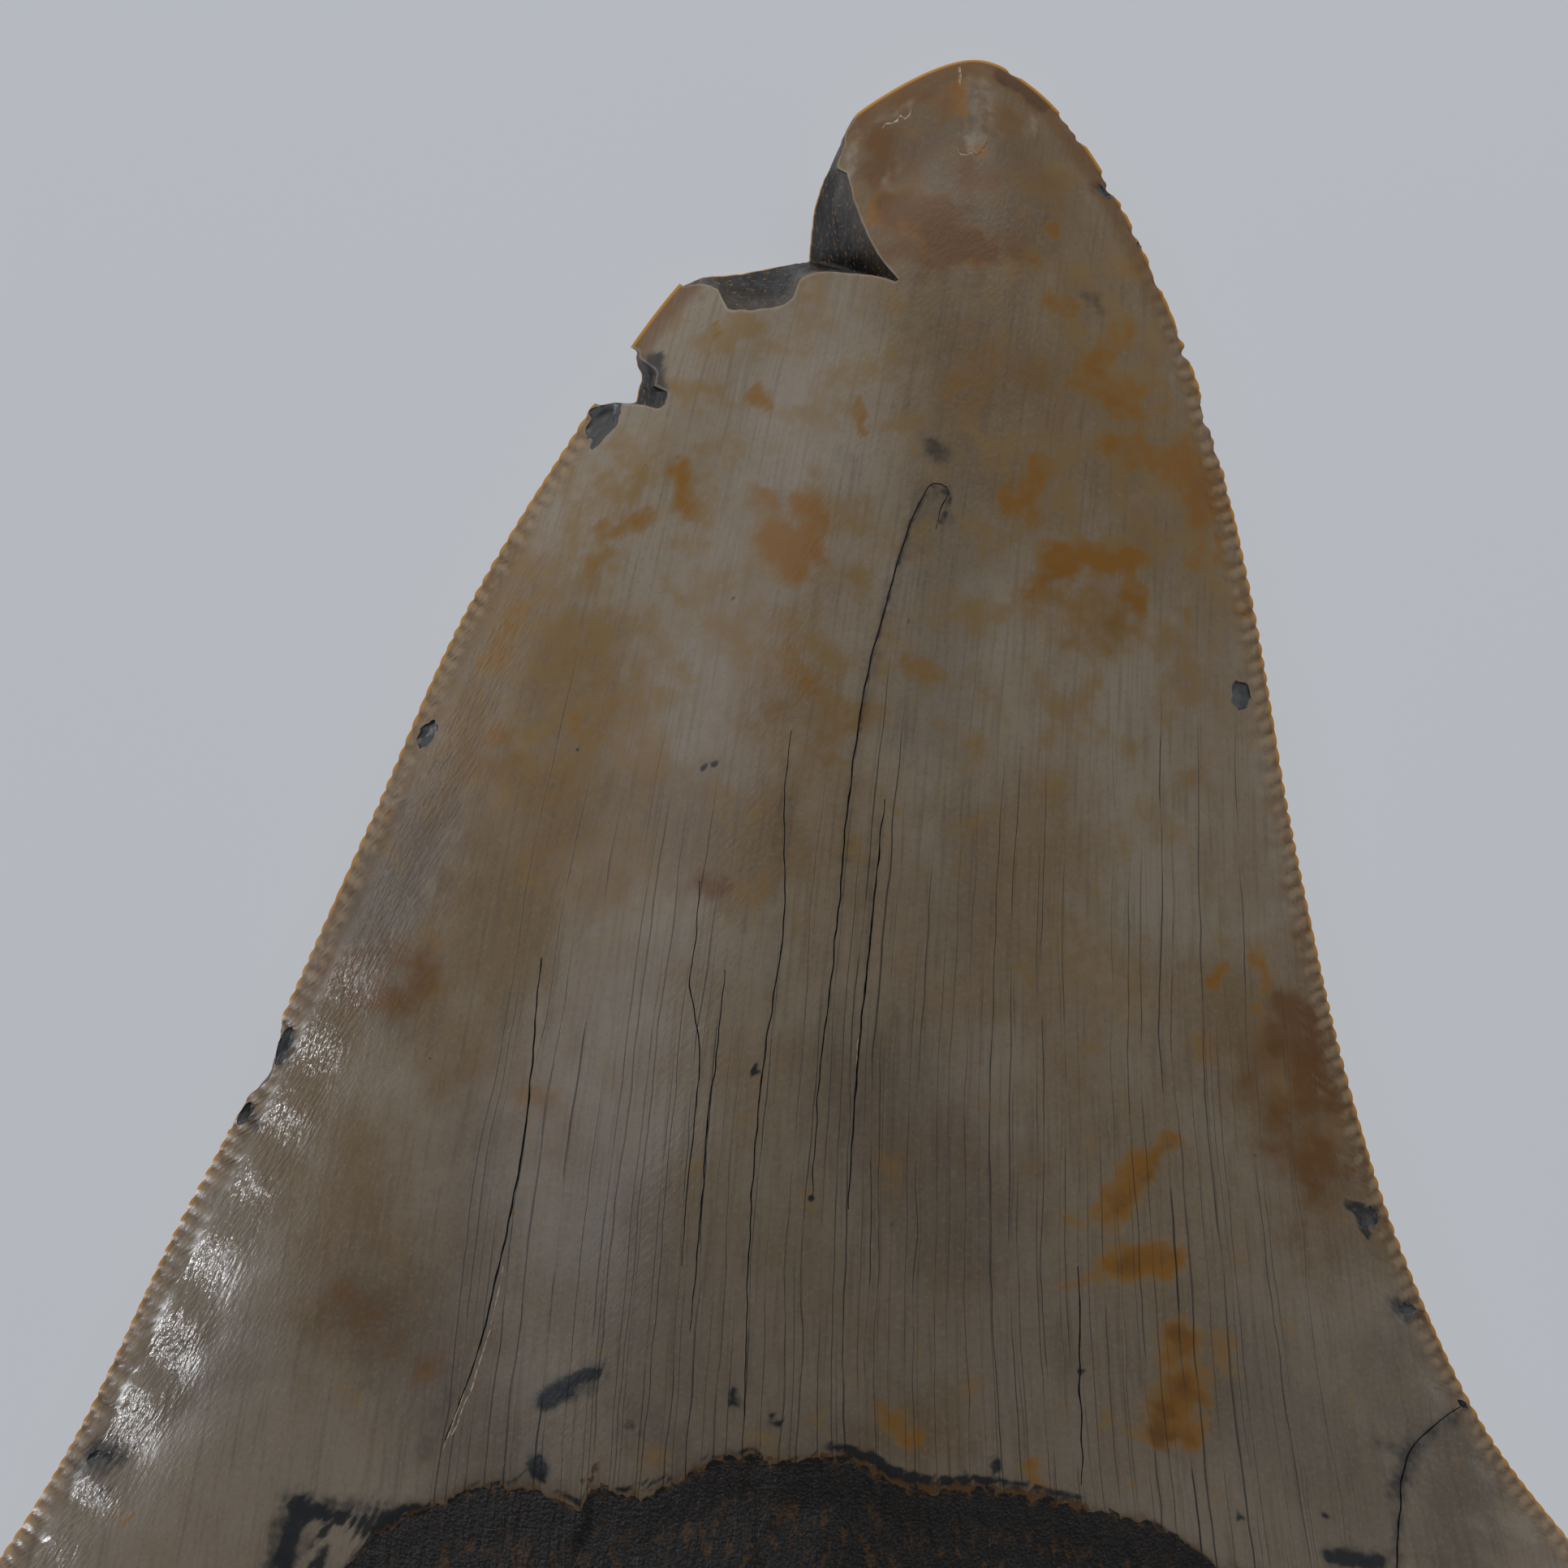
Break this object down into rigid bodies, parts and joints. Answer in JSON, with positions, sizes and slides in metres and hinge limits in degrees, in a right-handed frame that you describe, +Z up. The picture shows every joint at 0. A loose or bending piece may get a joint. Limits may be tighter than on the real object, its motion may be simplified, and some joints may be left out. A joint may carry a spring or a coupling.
{
  "type": "megalodon tooth",
  "caption": "Fossil megalodon tooth with a serrated enamel crown, a broken edge near the tip and a two-lobed root, lying on its flat labial face",
  "frame": {"origin": "middle of the tooth's bounding box in plan, on the surface that the tooth lies on", "axes": "X runs across the tooth, +Y from the root to the tip, +Z up out of the convex lingual face"},
  "size_m": [0.0862, 0.1036, 0.0217],
  "materials": {
    "tooth": "polished"
  },
  "bodies": {
    "root": {"tooth": "tooth"}
  },
  "joints": []
}
